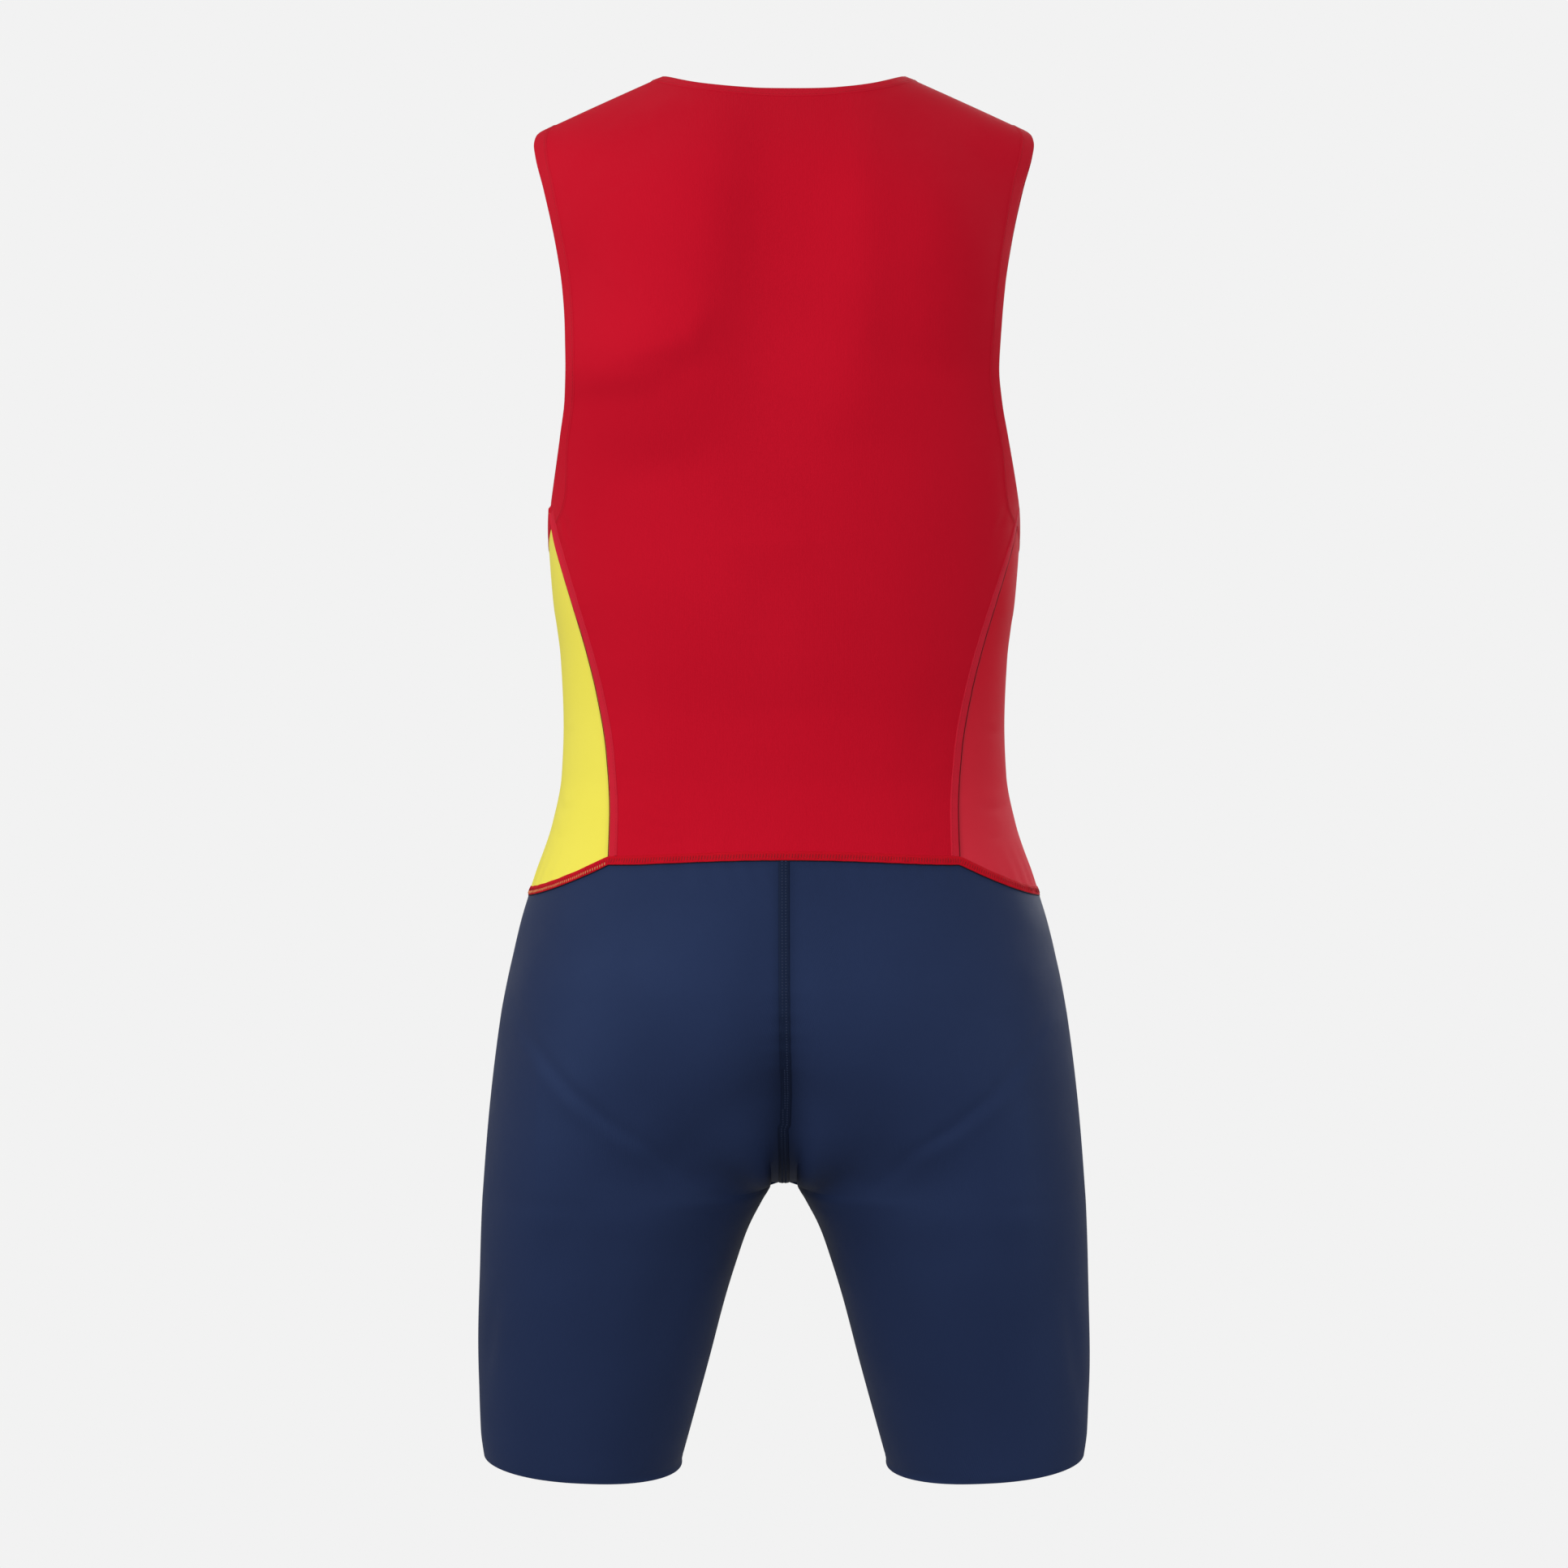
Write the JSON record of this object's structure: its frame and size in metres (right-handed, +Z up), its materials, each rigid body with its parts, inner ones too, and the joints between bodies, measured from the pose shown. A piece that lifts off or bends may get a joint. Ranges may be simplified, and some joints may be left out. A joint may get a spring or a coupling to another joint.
{
  "type": "sports jumpsuit",
  "caption": "Sleeveless sports jumpsuit, filled out as if worn, with a red top, a yellow left side panel and navy above-knee shorts.",
  "frame": {"origin": "where the wearer's shoulders hold the suit: on the middle plane, level with the middle of the shoulder seams", "axes": "+Z up along the wearer, front facing -Y, +X to the wearer's left, the side with the yellow panel"},
  "size_m": [0.3894, 0.2342, 0.8869],
  "materials": {
    "red_cloth": "smooth stretch knit with a soft sheen",
    "yellow_cloth": "smooth stretch knit with a soft sheen",
    "pale_red_cloth": "smooth stretch knit with a soft sheen",
    "navy_cloth": "smooth stretch knit with a soft sheen",
    "red_binding": "folded stretch knit",
    "red_tape": "flat sewn seam tape",
    "navy_tape": "flat sewn seam tape"
  },
  "bodies": {
    "root": {"back_panel": "red_cloth", "front_panel": "red_cloth", "side_panel_left": "yellow_cloth", "side_panel_right": "pale_red_cloth", "shorts_left": "navy_cloth", "shorts_right": "navy_cloth", "neck_binding": "red_binding", "armhole_binding_left": "red_binding", "armhole_binding_right": "red_binding", "waist_seam_tape": "red_tape", "rise_seam_tape": "navy_tape"}
  },
  "joints": []
}
